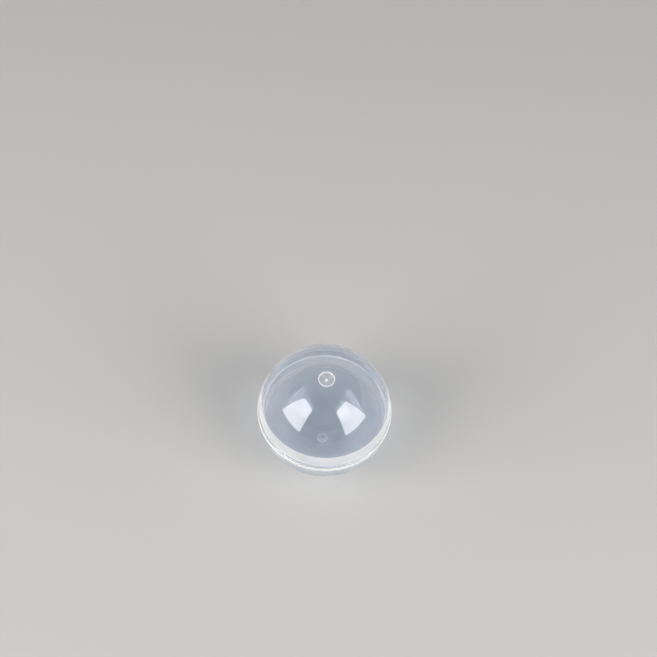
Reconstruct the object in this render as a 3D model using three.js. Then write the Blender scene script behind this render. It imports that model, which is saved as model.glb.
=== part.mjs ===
// Two-part toy capsule: a hollow ball, 50 mm across, that opens at its equator.
//
// The lower shell ends in a ledge just above the equator, on top of a slightly proud bead, and
// a neck stands above the ledge. The upper shell slides down over the neck and rests on the
// ledge. Each pole has a shallow dished gate mark with a small moulding nub in it, so that the
// nub never reaches past the ball.
//
// Millimetres, +Z up along the axis of both shells, origin at the middle of the foot land that
// the ball stands on.

import * as THREE from "three";

// Ball
const BALL_RADIUS = 24.8;
const WALL = 0.95;

// Bead of the lower shell, and the seam on top of it. Heights are from the equator.
const BEAD_RADIUS = 25.0;
const BEAD_FOOT = -2.2;
const BEAD_TAPER_FOOT = -4.5;
const BEAD_ROUND = 0.25;
const SEAM_HEIGHT = 1.0;
const SEAM_GAP = 0.1;
const SKIRT_ROUND = 0.25;

// Neck of the lower shell, and the thick rim zone below it
const NECK_CLEARANCE = 0.15;
const NECK_WALL = 0.5;
const NECK_TOP = 5.2;
const NECK_TIP_ROUND = 0.15;
const STEP_HEIGHT = 1.3;
const BORE_TOP_RADIUS = 22.45;
const BORE_RADIUS = 22.3;
const BORE_FOOT = -4.3;
const TAPER_FOOT = -7.6;

// Gate marks at the poles
const LAND_RADIUS = 3.7;
const DISH_RADIUS = 2.9;
const DISH_DEPTH = 0.85;
const BUMP_RADIUS = 2.6;
const BUMP_HEIGHT = 0.95;
const NUB_RADIUS = 0.5;
const NUB_TIP_RADIUS = 0.4;
const NUB_HEIGHT = 0.35;

// Facets
const SEGMENTS = 64;
const SPHERE_STEPS = 11;
const NECK_STEPS = 2;
const DISH_STEPS = 3;
const BUMP_STEPS = 4;

// Derived sizes
const INNER_RADIUS = BALL_RADIUS - WALL;
const NECK_RADIUS = INNER_RADIUS - NECK_CLEARANCE;
const NECK_INNER_RADIUS = NECK_RADIUS - NECK_WALL;
const UPPER_FOOT = SEAM_HEIGHT + SEAM_GAP;
const LAND_HEIGHT = heightOnSphere(BALL_RADIUS, LAND_RADIUS);
const EQUATOR_Z = LAND_HEIGHT;

// A sphere's height at that distance from the axis, or its distance from the axis at that height.
function heightOnSphere(sphereRadius, axisDistance) {
  return Math.sqrt(sphereRadius ** 2 - axisDistance ** 2);
}

// A point of a profile: its distance from the axis, and its height above the equator.
function at(axisDistance, height) {
  return new THREE.Vector2(axisDistance, height);
}

// Points on a sphere about the ball's centre, from one height to another.
function sphereArc(sphereRadius, fromHeight, toHeight, steps) {
  const from = Math.asin(fromHeight / sphereRadius);
  const to = Math.asin(toHeight / sphereRadius);
  const points = [];
  for (let i = 0; i <= steps; i += 1) {
    const angle = from + ((to - from) * i) / steps;
    points.push(at(sphereRadius * Math.cos(angle), sphereRadius * Math.sin(angle)));
  }
  return points;
}

// Points on a shallow dish or bump around the axis, from near the axis out to its edge.
// It is `depth` deep in the middle and reaches `edgeHeight` at `edgeRadius`.
function dishArc(edgeRadius, edgeHeight, depth, fromRadius, steps) {
  const curvature = (edgeRadius ** 2 + depth ** 2) / (2 * depth);
  const centreHeight = edgeHeight - depth + curvature;
  const points = [];
  for (let i = 0; i <= steps; i += 1) {
    const axisDistance = fromRadius + ((edgeRadius - fromRadius) * i) / steps;
    const drop = Math.sqrt(curvature ** 2 - axisDistance ** 2);
    points.push(at(axisDistance, centreHeight - drop));
  }
  return points;
}

// The outside of a pole, written for the top one, from the land's outer edge in to the axis.
function poleOutside() {
  const dish = dishArc(DISH_RADIUS, LAND_HEIGHT, DISH_DEPTH, NUB_RADIUS, DISH_STEPS);
  const nubTop = dish[0].y + NUB_HEIGHT;
  return [...dish.reverse(), at(NUB_TIP_RADIUS, nubTop), at(0, nubTop)];
}

// The inside of a pole, written for the top one, from the axis out to the bump's edge.
function poleInside() {
  const edgeHeight = heightOnSphere(INNER_RADIUS, BUMP_RADIUS);
  return dishArc(BUMP_RADIUS, edgeHeight, BUMP_HEIGHT, 0, BUMP_STEPS);
}

// The same profile mirrored through the equator, walked the other way round.
function mirrored(points) {
  return points.map((p) => at(p.x, -p.y)).reverse();
}

// The point of a profile that lies on a sphere about the ball's centre, at that height.
function onSphere(sphereRadius, height) {
  return at(heightOnSphere(sphereRadius, height), height);
}

// Upper shell: down its inside from the pole, across its rim, and up its outside.
function upperProfile() {
  const bumpEdge = heightOnSphere(INNER_RADIUS, BUMP_RADIUS);
  const skirt = sphereArc(BALL_RADIUS, UPPER_FOOT + SKIRT_ROUND, LAND_HEIGHT, SPHERE_STEPS);
  return [
    ...poleInside(),
    ...sphereArc(INNER_RADIUS, bumpEdge, UPPER_FOOT, SPHERE_STEPS).slice(1),
    at(skirt[0].x - SKIRT_ROUND, UPPER_FOOT),
    ...skirt,
    ...poleOutside(),
  ];
}

// Lower shell: up its outside from the foot, over the ledge and neck, and down its inside.
function lowerProfile() {
  const neckTip = onSphere(NECK_RADIUS, NECK_TOP - NECK_TIP_ROUND);
  const bumpEdge = heightOnSphere(INNER_RADIUS, BUMP_RADIUS);
  return [
    ...mirrored(poleOutside()),
    ...sphereArc(BALL_RADIUS, -LAND_HEIGHT, BEAD_TAPER_FOOT, SPHERE_STEPS),
    at(BEAD_RADIUS, BEAD_FOOT),
    at(BEAD_RADIUS, SEAM_HEIGHT - BEAD_ROUND),
    at(BEAD_RADIUS - BEAD_ROUND, SEAM_HEIGHT),
    ...sphereArc(NECK_RADIUS, SEAM_HEIGHT, neckTip.y, NECK_STEPS),
    at(neckTip.x - NECK_TIP_ROUND, NECK_TOP),
    ...sphereArc(NECK_INNER_RADIUS, NECK_TOP, STEP_HEIGHT, NECK_STEPS),
    at(BORE_TOP_RADIUS, STEP_HEIGHT),
    at(BORE_RADIUS, BORE_FOOT),
    ...sphereArc(INNER_RADIUS, TAPER_FOOT, -bumpEdge, SPHERE_STEPS),
    ...mirrored(poleInside()).slice(1),
  ];
}

function shellMaterial(colour, opacity) {
  return new THREE.MeshStandardMaterial({
    color: colour,
    roughness: 0.12,
    metalness: 0,
    transparent: true,
    opacity,
  });
}

// Turns a profile about the axis into a named shell, with the foot land at height 0.
function shell(name, profile, material) {
  const geometry = new THREE.LatheGeometry(profile, SEGMENTS);
  geometry.rotateX(Math.PI / 2);
  geometry.translate(0, 0, EQUATOR_Z);
  const mesh = new THREE.Mesh(geometry, material);
  mesh.name = name;
  return mesh;
}

const group = new THREE.Group();
group.add(shell("lower_shell", lowerProfile(), shellMaterial(0xc4cad2, 0.4)));
group.add(shell("upper_shell", upperProfile(), shellMaterial(0xc9ced6, 0.35)));

export default group;
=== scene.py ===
import math

import bmesh
import bpy
from mathutils import Matrix, Vector


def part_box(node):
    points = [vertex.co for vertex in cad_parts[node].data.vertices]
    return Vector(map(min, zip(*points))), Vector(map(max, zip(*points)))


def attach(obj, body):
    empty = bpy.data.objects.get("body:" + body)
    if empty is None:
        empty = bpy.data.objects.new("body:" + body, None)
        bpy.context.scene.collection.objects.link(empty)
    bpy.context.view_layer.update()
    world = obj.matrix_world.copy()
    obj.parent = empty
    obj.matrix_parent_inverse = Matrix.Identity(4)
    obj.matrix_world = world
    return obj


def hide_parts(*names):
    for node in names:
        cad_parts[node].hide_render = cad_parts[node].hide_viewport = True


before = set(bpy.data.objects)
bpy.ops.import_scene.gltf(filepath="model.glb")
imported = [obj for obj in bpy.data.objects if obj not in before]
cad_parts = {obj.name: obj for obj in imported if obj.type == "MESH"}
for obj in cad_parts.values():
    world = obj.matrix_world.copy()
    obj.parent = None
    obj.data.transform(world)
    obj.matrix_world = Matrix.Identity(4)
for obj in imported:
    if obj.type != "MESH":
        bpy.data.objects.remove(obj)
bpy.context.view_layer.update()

MM = 0.001

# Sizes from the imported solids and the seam, with heights from the ball's equator
LOWER_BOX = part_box("lower_shell")
UPPER_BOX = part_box("upper_shell")
SEAM_GAP = 0.1 * MM
SEAM_HEIGHT = 1.0 * MM
UPPER_FOOT = SEAM_HEIGHT + SEAM_GAP
EQUATOR = UPPER_BOX[0].z - UPPER_FOOT
BEAD_RADIUS = LOWER_BOX[1].x
NECK_TOP = LOWER_BOX[1].z - EQUATOR
LAND_HEIGHT = UPPER_BOX[1].z - EQUATOR

# Sizes that the two shells share with the solids
BALL_RADIUS = 24.8 * MM
WALL = 0.95 * MM
INNER_RADIUS = BALL_RADIUS - WALL
BEAD_FOOT = -2.2 * MM
BEAD_TAPER_FOOT = -4.5 * MM
NECK_CLEARANCE = 0.15 * MM
NECK_WALL = 0.5 * MM
NECK_RADIUS = INNER_RADIUS - NECK_CLEARANCE
NECK_INNER_RADIUS = NECK_RADIUS - NECK_WALL
STEP_HEIGHT = 1.3 * MM
BORE_TOP_RADIUS = 22.45 * MM
BORE_RADIUS = 22.3 * MM
BORE_FOOT = -4.3 * MM
TAPER_FOOT = -7.6 * MM
DISH_RADIUS = 2.9 * MM
DISH_DEPTH = 0.85 * MM
BUMP_RADIUS = 2.6 * MM
BUMP_HEIGHT = 0.95 * MM
NUB_RADIUS = 0.5 * MM
NUB_TIP_RADIUS = 0.4 * MM
NUB_HEIGHT = 0.35 * MM

# How far each rounded corner reaches along both of its sides
LAND_ROUND = 0.3 * MM
DISH_EDGE_ROUND = 0.12 * MM
NUB_FOOT_ROUND = 0.08 * MM
NUB_TIP_ROUND = 0.06 * MM
BUMP_ROUND = 0.3 * MM
SKIRT_INNER_ROUND = 0.08 * MM
SKIRT_OUTER_ROUND = 0.22 * MM
TAPER_ROUND = 0.5 * MM
BEAD_FOOT_ROUND = 0.8 * MM
SHOULDER_ROUND = 0.22 * MM
LEDGE_ROUND = 0.1 * MM
NECK_TIP_ROUND = 0.15 * MM
STEP_ROUND = 0.08 * MM
BORE_ROUND = 0.12 * MM

# Mesh
SEGMENTS = 192
LONGEST_STEP = 0.6 * MM
DISH_STEPS = 14
ROUND_STEPS = 6
SUPPORT = 0.05 * MM
LEAST_SHARE = 0.01
TINY = 1e-7

# Clear, lightly hazy plastic
GLASS_TINT = (0.76, 0.81, 0.88, 1)
SHADOW_TINT = (0.74, 0.75, 0.77, 1)
IOR = 1.49
WHITE = (0.93, 0.92, 0.89, 1)
HAZE = (0.78, 0.87, 1.0, 1)
HAZE_DENSITY = 75.0
HAZE_FORWARD = 0.2
GLOSS = 0.012
CLOUD_GLOSS = 0.03
MATTE_GLOSS = 0.33

# Milkiness: what share of the light the surface scatters
MILK = 0.008
CLOUD_MILK = 0.035
SCUFF_MILK = 0.10
SPECK_MILK = 0.45
MATTE_MILK = 0.48
MATTE_CLOUD_MILK = 0.12
MILK_THROUGH = 0.5

# Fine marks of the moulding
CLOUD_SCALE = 90.0
CLOUD_DETAIL = 4.0
CLOUD_RANGE = (0.4, 0.7)
SCUFF_SCALE = 1.0
SCUFF_STRETCH = (1500.0, 260.0, 1500.0)
SCUFF_TURN = (0.5, 0.3, 0.9)
SCUFF_RANGE = (0.66, 0.74)
SPECK_SCALE = 620.0
SPECK_EDGE = (0.16, 0.08)
SPECK_LOT = (0.84, 0.85)
RIPPLE_SCALE = 130.0
RIPPLE_DETAIL = 1.0
GRAIN_SCALE = 2600.0
GRAIN_SHARE = 0.01
RIPPLE_DEPTH = 0.02 * MM
CALM_RIM = (9 * MM, 13 * MM)

# Matte places, and painted highlights, glints and glow laid on as the same whiteness
BAND_FOOT = 2.0 * MM
BAND_FULL = 3.5 * MM
BAND_TOP = 8.0 * MM
BAND_TOP_SOFT = 0.1 * MM
# Painted highlight: a whiter line just under the band's top edge
BAND_EDGE = 0.3 * MM
BAND_EDGE_HIGHLIGHT = 0.3
BAND_RADII = (24.3 * MM, 24.4 * MM)
TOP_POLE = (22.5 * MM, 22.6 * MM)
FOOT_POLE = (-23.0 * MM, -23.1 * MM)
RIM_WIDTH = 0.3 * MM
RIM_MATTE = 1.2
DISH_SOFT = 0.2 * MM
# Painted glow in the gate mark's dish, and a painted highlight on its nub
DISH_PAINTED_GLOW = 0.16
NUB_SOFT = 0.1 * MM
NUB_HIGHLIGHT = 1.3
FOOT_DISC = (2.3 * MM, 1.9 * MM)
FOOT_DISC_MATTE = 0.5
NECK_RADII = (23.3 * MM, 23.25 * MM)
# Painted glint: a whitened line round the inside of the neck at the step
STEP_WIDTH = 0.3 * MM
STEP_GLINT = 1.2
INSIDE_RADII = (23.95 * MM, 23.9 * MM)
# Painted glints: whitened lines round the inside at the foot of the bore and of the taper
EDGE_WIDTH = 0.5 * MM
EDGE_GLINT = 0.5
BORE_SOFT = 0.4 * MM
BORE_MATTE = 0.2
BOWL_FADE_FOOT = -14 * MM
BOWL_MATTE = 0.2
# Painted highlight: a bright whitened line round the bead's shoulder at the seam
SHOULDER_FOOT = -0.1 * MM
SHOULDER_SOFT = 0.3 * MM
SHOULDER_RADII = (24.5 * MM, 24.6 * MM)
SHOULDER_HIGHLIGHT = 1.5

# Studio, in metres
FLOOR_GREY = 0.46
FLOOR_ROUGHNESS = 0.9
FAR_GLOW = 0.36
FAR_GLOW_RANGE = (0.7, 1.8)
FLOOR_SEGMENTS = 96
WALL_FOOT = 1.5
WALL_BEND = 0.8
WALL_TOP = 1.2
WALL_BEND_STEPS = 15
BOX_DISTANCE = 0.75
BOX_WIDTH = 0.60
BOX_HEIGHT = 1.00
BOX_CENTRE = 0.68
BOX_RADIANCE = 6.2
BOX_COLOUR = (1.0, 0.98, 0.955)
LEFT_BOX = -59
RIGHT_BOX = 58
WORLD_STRENGTH = 0.15
CLEAR_BOUNCES = 24
GLOSSY_BOUNCES = 12
VOLUME_BOUNCES = 6

# Camera
LENS = 85
SENSOR = 36
CAMERA_DISTANCE = 0.580
CAMERA_PITCH = 59.8
CAMERA_ROLL = 3.9
AIM_RIGHT = -0.00259
AIM_UP = -0.05257


# ---- profiles: lists of (distance from the axis, height above the equator) ----

def height_on(sphere_radius, distance):
    return math.sqrt(sphere_radius ** 2 - distance ** 2)


def on_sphere(radius, height):
    """The point of a profile that lies on a sphere about the ball's centre, at that height."""
    return (height_on(radius, height), height)


def part_way(start, end, share):
    return (start[0] + (end[0] - start[0]) * share, start[1] + (end[1] - start[1]) * share)


def line(start, end):
    steps = max(1, math.ceil(math.dist(start, end) / LONGEST_STEP))
    return [part_way(start, end, i / steps) for i in range(steps + 1)]


def sphere_arc(radius, start_height, end_height):
    start = math.asin(start_height / radius)
    end = math.asin(end_height / radius)
    steps = max(2, math.ceil(abs(end - start) * radius / LONGEST_STEP))
    angles = [start + (end - start) * i / steps for i in range(steps + 1)]
    return [(radius * math.cos(a), radius * math.sin(a)) for a in angles]


def dish_arc(edge_radius, edge_height, depth, start_radius):
    """A round hollow about the axis, from start_radius out to its edge."""
    curvature = (edge_radius ** 2 + depth ** 2) / (2 * depth)
    centre = edge_height - depth + curvature
    shares = [i / DISH_STEPS for i in range(DISH_STEPS + 1)]
    distances = [start_radius + (edge_radius - start_radius) * share for share in shares]
    return [(d, centre - math.sqrt(curvature ** 2 - d ** 2)) for d in distances]


def cut_back(path, reach):
    """The path without its last stretch of that length, and a support point just before the cut."""
    left = reach
    points = list(path)
    while len(points) > 2 and math.dist(points[-1], points[-2]) <= left:
        left -= math.dist(points[-1], points[-2])
        points.pop()
    a, b = points[-2], points[-1]
    length = math.dist(a, b)
    share = max(0.0, 1 - left / length)
    near = max(0.0, share - SUPPORT / length)
    support = [part_way(a, b, near)] if near > LEAST_SHARE else []
    return points[:-1] + support + [part_way(a, b, share)]


def rounded(start, corner, end):
    """The points between start and end on the curve that the corner pulls outward."""
    points = []
    for i in range(1, ROUND_STEPS):
        share = i / ROUND_STEPS
        first = part_way(start, corner, share)
        second = part_way(corner, end, share)
        points.append(part_way(first, second, share))
    return points


def joined(stretches):
    """One profile from (path, reach) pairs: each corner between paths is rounded over its reach."""
    paths = [list(path) for path, _ in stretches]
    for i in range(len(paths) - 1):
        reach = stretches[i][1]
        corner = paths[i][-1]
        before = cut_back(paths[i], reach)
        after = cut_back(paths[i + 1][::-1], reach)[::-1]
        paths[i] = before + rounded(before[-1], corner, after[0])
        paths[i + 1] = after
    return [point for path in paths for point in path]


def mirrored(stretches):
    """The same stretches on the other side of the equator, walked the other way."""
    paths = [[(x, -z) for x, z in reversed(path)] for path, _ in reversed(stretches)]
    reaches = [reach for _, reach in reversed(stretches[:-1])]
    return list(zip(paths, reaches + [stretches[-1][1]]))


def pole_outside():
    """From the land's outer edge at the top pole in to the axis."""
    dish = dish_arc(DISH_RADIUS, LAND_HEIGHT, DISH_DEPTH, NUB_RADIUS)
    land = height_on(BALL_RADIUS, LAND_HEIGHT)
    foot = dish[0][1]
    tip = (NUB_TIP_RADIUS, foot + NUB_HEIGHT)
    return [
        (line((land, LAND_HEIGHT), (DISH_RADIUS, LAND_HEIGHT)), DISH_EDGE_ROUND),
        (dish[::-1], NUB_FOOT_ROUND),
        (line((NUB_RADIUS, foot), tip), NUB_TIP_ROUND),
        (line(tip, (0, tip[1])), 0),
    ]


def pole_inside():
    """From the axis out to the edge of the bump under the top pole."""
    edge = height_on(INNER_RADIUS, BUMP_RADIUS)
    return [(dish_arc(BUMP_RADIUS, edge, BUMP_HEIGHT, 0), BUMP_ROUND)]


def upper_profile():
    """Down the cap's inside from the pole, across its rim, and up its outside."""
    edge = height_on(INNER_RADIUS, BUMP_RADIUS)
    inner_foot = on_sphere(INNER_RADIUS, UPPER_FOOT)
    outer_foot = on_sphere(BALL_RADIUS, UPPER_FOOT)
    return joined([
        *pole_inside(),
        (sphere_arc(INNER_RADIUS, edge, UPPER_FOOT), SKIRT_INNER_ROUND),
        (line(inner_foot, outer_foot), SKIRT_OUTER_ROUND),
        (sphere_arc(BALL_RADIUS, UPPER_FOOT, LAND_HEIGHT), LAND_ROUND),
        *pole_outside(),
    ])


def lower_profile():
    """Up the outside from the foot, over the bead, the ledge and the neck, and down the inside."""
    edge = height_on(INNER_RADIUS, BUMP_RADIUS)
    ball = sphere_arc(BALL_RADIUS, -BEAD_TAPER_FOOT, LAND_HEIGHT)
    outside = mirrored([(ball, LAND_ROUND), *pole_outside()])
    outside[-1] = (outside[-1][0], TAPER_ROUND)
    bead_foot = (BEAD_RADIUS, BEAD_FOOT)
    shoulder = (BEAD_RADIUS, SEAM_HEIGHT)
    neck_tip = on_sphere(NECK_RADIUS, NECK_TOP)
    inner_tip = on_sphere(NECK_INNER_RADIUS, NECK_TOP)
    step = (BORE_TOP_RADIUS, STEP_HEIGHT)
    bore_foot = (BORE_RADIUS, BORE_FOOT)
    return joined([
        *outside,
        (line(on_sphere(BALL_RADIUS, BEAD_TAPER_FOOT), bead_foot), BEAD_FOOT_ROUND),
        (line(bead_foot, shoulder), SHOULDER_ROUND),
        (line(shoulder, on_sphere(NECK_RADIUS, SEAM_HEIGHT)), LEDGE_ROUND),
        (sphere_arc(NECK_RADIUS, SEAM_HEIGHT, NECK_TOP), NECK_TIP_ROUND),
        (line(neck_tip, inner_tip), NECK_TIP_ROUND),
        (sphere_arc(NECK_INNER_RADIUS, NECK_TOP, STEP_HEIGHT), STEP_ROUND),
        (line(on_sphere(NECK_INNER_RADIUS, STEP_HEIGHT), step), STEP_ROUND),
        (line(step, bore_foot), BORE_ROUND),
        (line(bore_foot, on_sphere(INNER_RADIUS, TAPER_FOOT)), BORE_ROUND),
        (sphere_arc(INNER_RADIUS, TAPER_FOOT, -edge), BUMP_ROUND),
        *mirrored(pole_inside()),
    ])


# ---- meshes ----

def ring(bm, distance, height, segments):
    """A ring of vertices about the axis, or the single vertex on it."""
    if distance < TINY:
        return [bm.verts.new((0, 0, height))]
    turns = [2 * math.pi * i / segments for i in range(segments)]
    return [bm.verts.new((distance * math.cos(t), distance * math.sin(t), height)) for t in turns]


def turned(name, profile, base_height, segments):
    """The profile turned about the axis, with its height 0 at base_height."""
    bm = bmesh.new()
    rings = [ring(bm, distance, base_height + height, segments) for distance, height in profile]
    for a, b in zip(rings, rings[1:]):
        for i in range(segments):
            j = (i + 1) % segments
            corners = [a[i % len(a)], a[j % len(a)], b[j % len(b)], b[i % len(b)]]
            bm.faces.new(list(dict.fromkeys(corners)))
    bmesh.ops.recalc_face_normals(bm, faces=bm.faces)
    mesh = bpy.data.meshes.new(name)
    bm.to_mesh(mesh)
    bm.free()
    mesh.shade_smooth()
    piece = bpy.data.objects.new(name, mesh)
    bpy.context.scene.collection.objects.link(piece)
    return piece


# ---- materials ----

class Nodes:
    """Short calls for the nodes of one material."""

    def __init__(self, name):
        self.material = bpy.data.materials.new(name)
        self.material.use_nodes = True
        self.tree = self.material.node_tree
        self.tree.nodes.clear()

    def add(self, kind, **inputs):
        node = self.tree.nodes.new(kind)
        for key, value in inputs.items():
            self.put(value, node.inputs[key.replace("_", " ")])
        return node

    def put(self, value, socket):
        if isinstance(value, bpy.types.NodeSocket):
            self.tree.links.new(value, socket)
        else:
            socket.default_value = value

    def math(self, operation, *values, clamp=False):
        node = self.tree.nodes.new("ShaderNodeMath")
        node.operation = operation
        node.use_clamp = clamp
        for value, socket in zip(values, node.inputs):
            self.put(value, socket)
        return node.outputs[0]

    def times(self, first, second):
        return self.math("MULTIPLY", first, second)

    def total(self, *values):
        result = values[0]
        for value in values[1:]:
            result = self.math("ADD", result, value)
        return result

    def ramp(self, value, zero_at, one_at):
        """0 at zero_at and beyond, 1 at one_at and beyond."""
        node = self.add("ShaderNodeMapRange", Value=value, From_Min=zero_at, From_Max=one_at)
        return node.outputs[0]

    def ridge(self, value, centre, half_width):
        """1 at the centre, falling to 0 at half_width to either side."""
        away = self.math("ABSOLUTE", self.math("SUBTRACT", value, centre))
        return self.math("SUBTRACT", 1.0, self.math("DIVIDE", away, half_width), clamp=True)

    def between(self, value, low, high, soft):
        """1 from low to high, falling to 0 over soft on either side."""
        return self.times(self.ramp(value, low - soft, low), self.ramp(value, high + soft, high))

    def mix(self, share, first, second):
        node = self.tree.nodes.new("ShaderNodeMixShader")
        for value, socket in zip((share, first, second), node.inputs):
            self.put(value, socket)
        return node.outputs[0]


def shell_places(n):
    """Sockets for a point's place, height above the equator, and distance from axis and centre."""
    place = n.add("ShaderNodeTexCoord").outputs["Object"]
    split = n.add("ShaderNodeSeparateXYZ", Vector=place)
    height = n.math("SUBTRACT", split.outputs["Z"], EQUATOR)
    across = n.math("POWER", split.outputs["X"], 2.0)
    along = n.math("POWER", split.outputs["Y"], 2.0)
    flat = n.total(across, along)
    distance = n.math("SQRT", flat)
    radius = n.math("SQRT", n.total(flat, n.math("POWER", height, 2.0)))
    return place, height, distance, radius


def moulding_marks(n, place):
    """Sockets for the fine wear of a used moulding: clouds of haze, hairline scuffs, dust specks."""
    noise = n.add("ShaderNodeTexNoise", Vector=place, Scale=CLOUD_SCALE, Detail=CLOUD_DETAIL)
    clouds = n.ramp(noise.outputs[0], *CLOUD_RANGE)
    stretch = n.add("ShaderNodeMapping", Vector=place, Scale=SCUFF_STRETCH, Rotation=SCUFF_TURN)
    hairs = n.add("ShaderNodeTexNoise", Vector=stretch.outputs[0], Scale=SCUFF_SCALE)
    scuffs = n.times(n.ramp(hairs.outputs[0], *SCUFF_RANGE), clouds)
    cells = n.add("ShaderNodeTexVoronoi", Vector=place, Scale=SPECK_SCALE)
    lot = n.add("ShaderNodeSeparateColor", Color=cells.outputs["Color"]).outputs[0]
    dots = n.ramp(cells.outputs["Distance"], *SPECK_EDGE)
    specks = n.times(dots, n.ramp(lot, *SPECK_LOT))
    return clouds, scuffs, specks


def moulding_relief(n, place, height):
    """The slow ripple of a thin moulded wall, left out near the rim, with a fine grain."""
    ripple = n.add("ShaderNodeTexNoise", Vector=place, Scale=RIPPLE_SCALE, Detail=RIPPLE_DETAIL)
    grain = n.add("ShaderNodeTexNoise", Vector=place, Scale=GRAIN_SCALE)
    away_from_rim = n.ramp(n.math("ABSOLUTE", height), *CALM_RIM)
    slow = n.times(ripple.outputs[0], away_from_rim)
    relief = n.total(slow, n.times(grain.outputs[0], GRAIN_SHARE))
    bump = n.add("ShaderNodeBump", Height=relief, Strength=1.0, Distance=RIPPLE_DEPTH)
    return bump.outputs[0]


def polypropylene(name, matte_and_highlight_places):
    """Clear plastic with haze in its depth, a little milk on its surface, and matte places that also
    carry painted highlights, glints and glow.
    """
    n = Nodes(name)
    place, height, distance, radius = shell_places(n)
    clouds, scuffs, specks = moulding_marks(n, place)
    normal = moulding_relief(n, place, height)
    matte = matte_and_highlight_places(n, height, distance, radius)
    milk = n.total(MILK, n.times(clouds, CLOUD_MILK), n.times(scuffs, SCUFF_MILK))
    milk = n.total(milk, n.times(specks, SPECK_MILK))
    # the same whiteness frosts the matte places and paints the highlights, glints and glow among them
    matte_milk = n.total(MATTE_MILK, n.times(clouds, MATTE_CLOUD_MILK))
    milk = n.math("ADD", milk, n.times(matte, matte_milk), clamp=True)
    gloss = n.total(GLOSS, n.times(clouds, CLOUD_GLOSS), n.times(matte, MATTE_GLOSS))
    glass = n.add("ShaderNodeBsdfPrincipled", Base_Color=GLASS_TINT, Transmission_Weight=1.0,
                  Roughness=gloss, IOR=IOR, Normal=normal)
    back = n.add("ShaderNodeBsdfTranslucent", Color=WHITE, Normal=normal).outputs[0]
    front = n.add("ShaderNodeBsdfDiffuse", Color=WHITE, Normal=normal).outputs[0]
    surface = n.mix(milk, glass.outputs[0], n.mix(MILK_THROUGH, front, back))
    clear = n.add("ShaderNodeBsdfTransparent", Color=SHADOW_TINT).outputs[0]
    shadow = n.add("ShaderNodeLightPath").outputs["Is Shadow Ray"]
    out = n.add("ShaderNodeOutputMaterial")
    n.put(n.mix(shadow, surface, clear), out.inputs["Surface"])
    haze = n.add("ShaderNodeVolumeScatter", Color=HAZE, Density=HAZE_DENSITY,
                 Anisotropy=HAZE_FORWARD)
    n.put(haze.outputs[0], out.inputs["Volume"])
    return n.material


def upper_matte_and_highlights(n, height, distance, radius):
    """The matte band around the outside of the skirt, with a painted highlight at its top edge, and
    the gate mark with its frosted rim, a painted glow in its dish and a painted highlight on its nub.
    """
    band = n.times(n.ramp(height, BAND_FOOT, BAND_FULL),
                   n.ramp(height, BAND_TOP, BAND_TOP - BAND_TOP_SOFT))
    # painted highlight along the band's top edge, laid on as extra matte
    edge = n.times(n.ridge(height, BAND_TOP - BAND_EDGE, BAND_EDGE), BAND_EDGE_HIGHLIGHT)
    band = n.times(n.total(band, edge), n.ramp(radius, *BAND_RADII))
    rim = n.times(n.ridge(distance, DISH_RADIUS, RIM_WIDTH), RIM_MATTE)
    # painted glow over the dish and painted highlight on the nub, laid on as matte; the rim ring is
    # frost
    dish = n.times(n.ramp(distance, DISH_RADIUS, DISH_RADIUS - DISH_SOFT), DISH_PAINTED_GLOW)
    nub_highlight = n.times(n.ramp(distance, NUB_RADIUS + NUB_SOFT, NUB_RADIUS), NUB_HIGHLIGHT)
    gate_frost_and_highlights = n.times(n.total(rim, dish, nub_highlight), n.ramp(height, *TOP_POLE))
    return n.total(band, gate_frost_and_highlights)


def lower_matte_and_highlights(n, height, distance, radius):
    """A painted highlight on the bead's shoulder, a painted glint on the step and painted glints on
    the edges of the thick zone, matte in the thick zone and the bowl, and the gate mark.
    """
    # painted glint along the step, laid on as matte
    step = n.times(n.ridge(height, STEP_HEIGHT, STEP_WIDTH), STEP_GLINT)
    step = n.times(step, n.ramp(radius, *NECK_RADII))
    # painted glints along the foot of the bore and of the taper, laid on as matte
    edge_glints = n.total(n.ridge(height, BORE_FOOT, EDGE_WIDTH), n.ridge(height, TAPER_FOOT, EDGE_WIDTH))
    bore = n.between(height, BORE_FOOT, STEP_HEIGHT, BORE_SOFT)
    bowl = n.times(n.ramp(height, BOWL_FADE_FOOT, BORE_FOOT), n.ramp(height, 0.0, BORE_FOOT))
    inside = n.total(n.times(edge_glints, EDGE_GLINT), n.times(bore, BORE_MATTE), n.times(bowl, BOWL_MATTE))
    inside = n.times(inside, n.ramp(radius, *INSIDE_RADII))
    # painted highlight along the bead's shoulder, laid on as matte
    shoulder = n.between(height, SHOULDER_FOOT, SEAM_HEIGHT, SHOULDER_SOFT)
    shoulder = n.times(n.times(shoulder, n.ramp(radius, *SHOULDER_RADII)), SHOULDER_HIGHLIGHT)
    disc = n.times(n.ramp(distance, *FOOT_DISC), n.ramp(height, *FOOT_POLE))
    return n.total(step, inside, shoulder, n.times(disc, FOOT_DISC_MATTE))


def floor_material():
    """Pale matte paint, lit more from itself further out, where the softboxes don't reach."""
    n = Nodes("floor")
    place = n.add("ShaderNodeTexCoord").outputs["Object"]
    distance = n.add("ShaderNodeVectorMath", Vector=place)
    distance.operation = "LENGTH"
    glow = n.times(n.ramp(distance.outputs["Value"], *FAR_GLOW_RANGE), FAR_GLOW)
    paint = n.add("ShaderNodeBsdfPrincipled", Base_Color=(*[FLOOR_GREY] * 3, 1),
                  Roughness=FLOOR_ROUGHNESS, Emission_Color=(1, 1, 1, 1), Emission_Strength=glow)
    out = n.add("ShaderNodeOutputMaterial")
    n.put(paint.outputs[0], out.inputs["Surface"])
    return n.material


# ---- pieces, floor, light and camera ----

def shell(node, body, profile, material):
    """The fine visual of one shell, in place of its plain solid."""
    piece = turned(node + "_fine", profile, EQUATOR, SEGMENTS)
    piece.data.materials.append(material)
    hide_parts(node)
    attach(piece, body)


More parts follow.
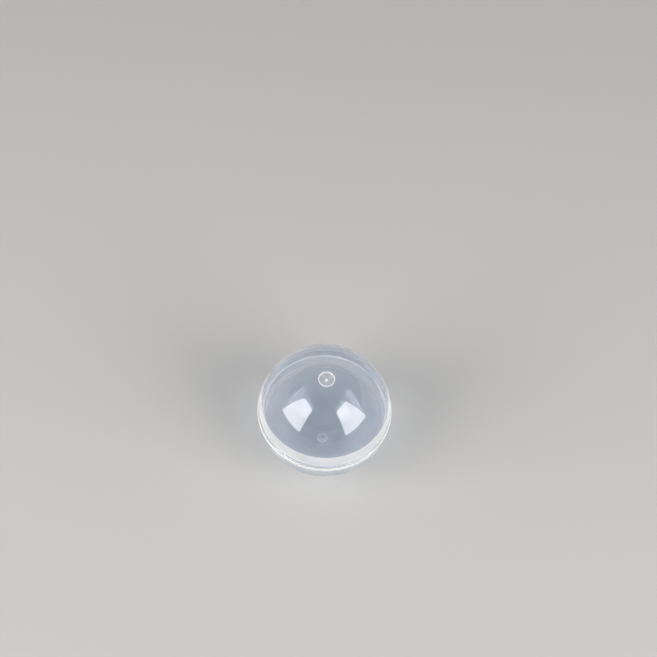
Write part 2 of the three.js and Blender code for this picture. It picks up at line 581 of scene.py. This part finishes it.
def make_floor():
    """A round floor that turns up into a low wall all around, so that no side shows a horizon."""
    turns = [math.pi / 2 * i / WALL_BEND_STEPS for i in range(WALL_BEND_STEPS + 1)]
    bend = [(WALL_FOOT + WALL_BEND * math.sin(t), WALL_BEND * (1 - math.cos(t))) for t in turns]
    floor = turned("floor", [(0, 0), *bend, (WALL_FOOT + WALL_BEND, WALL_TOP)], 0, FLOOR_SEGMENTS)
    floor.data.materials.append(floor_material())


def softbox(name, azimuth):
    """A tall upright light that faces the axis, at that many degrees to the right of the camera."""
    light = bpy.data.lights.new(name, "AREA")
    light.shape = "RECTANGLE"
    light.color = BOX_COLOUR
    light.size = BOX_WIDTH
    light.size_y = BOX_HEIGHT
    light.energy = BOX_RADIANCE * math.pi * BOX_WIDTH * BOX_HEIGHT
    turn = math.radians(azimuth)
    box = bpy.data.objects.new(name, light)
    box.location = (math.sin(turn) * BOX_DISTANCE, -math.cos(turn) * BOX_DISTANCE, BOX_CENTRE)
    inward = Vector((-box.location.x, -box.location.y, 0))
    box.rotation_euler = inward.to_track_quat("-Z", "Y").to_euler()
    box.visible_camera = False
    bpy.context.scene.collection.objects.link(box)


def make_world():
    world = bpy.data.worlds.new("world")
    world.use_nodes = True
    background = world.node_tree.nodes["Background"]
    background.inputs["Color"].default_value = (1, 1, 1, 1)
    background.inputs["Strength"].default_value = WORLD_STRENGTH
    bpy.context.scene.world = world


def make_camera():
    data = bpy.data.cameras.new("camera")
    data.lens = LENS
    data.sensor_width = SENSOR
    cam = bpy.data.objects.new("camera", data)
    bpy.context.scene.collection.objects.link(cam)
    pitch = math.radians(CAMERA_PITCH)
    roll = math.radians(CAMERA_ROLL)
    back = Vector((0, -math.cos(pitch), math.sin(pitch)))
    level_right = Vector((1, 0, 0))
    level_up = Vector((0, math.sin(pitch), math.cos(pitch)))
    right = level_right * math.cos(roll) + level_up * math.sin(roll)
    up = level_up * math.cos(roll) - level_right * math.sin(roll)
    aim = (right * AIM_RIGHT + up * AIM_UP - back).normalized()
    place = Vector((0, 0, EQUATOR)) - aim * CAMERA_DISTANCE
    turn = Matrix((right, up, back)).transposed().to_4x4()
    cam.matrix_world = Matrix.Translation(place) @ turn
    bpy.context.scene.camera = cam


def set_light_paths():
    """Enough bounces for four walls of clear plastic, in plain display colours."""
    scene = bpy.context.scene
    scene.view_settings.view_transform = "Standard"
    scene.cycles.max_bounces = CLEAR_BOUNCES
    scene.cycles.transmission_bounces = CLEAR_BOUNCES
    scene.cycles.glossy_bounces = GLOSSY_BOUNCES
    scene.cycles.volume_bounces = VOLUME_BOUNCES
    scene.cycles.transparent_max_bounces = CLEAR_BOUNCES


shell("lower_shell", "base", lower_profile(),
      polypropylene("lower_polypropylene", lower_matte_and_highlights))
shell("upper_shell", "cap", upper_profile(),
      polypropylene("upper_polypropylene", upper_matte_and_highlights))
make_floor()
softbox("softbox_left", LEFT_BOX)
softbox("softbox_right", RIGHT_BOX)
make_world()
make_camera()
set_light_paths()
